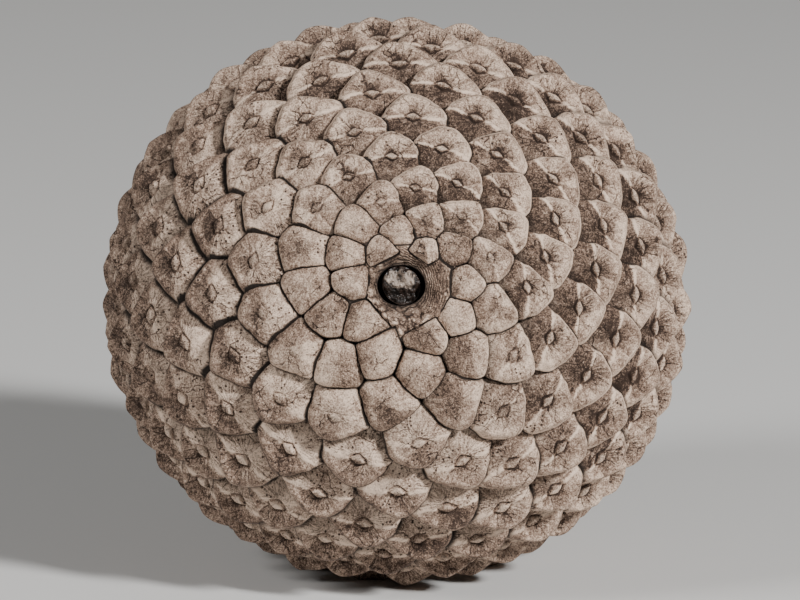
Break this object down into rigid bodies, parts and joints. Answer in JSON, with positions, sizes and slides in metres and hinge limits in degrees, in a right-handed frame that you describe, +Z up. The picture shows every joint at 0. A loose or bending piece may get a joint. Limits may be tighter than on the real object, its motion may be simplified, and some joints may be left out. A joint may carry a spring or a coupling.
{
  "type": "pine cone",
  "caption": "Closed egg-shaped pine cone of keeled woody scales in spirals, lying on its side with the dark stub of its stalk in a pit at the stem end.",
  "frame": {"origin": "centre of the bounding box in plan, on the plane that the cone lies on", "axes": "+Z up, -Y toward the stem end, +Y toward the tip, +X to the right seen from the stem end; the cone's axis slopes down toward the tip by 13.4 degrees"},
  "size_m": [0.0802, 0.083, 0.0769],
  "materials": {
    "scale_wood": "dry matt weathered scales, fine dark speckle and striae",
    "stalk_wood": "dark resinous broken end, half gloss"
  },
  "bodies": {
    "root": {"cone": "scale_wood", "stalk": "stalk_wood"}
  },
  "joints": []
}
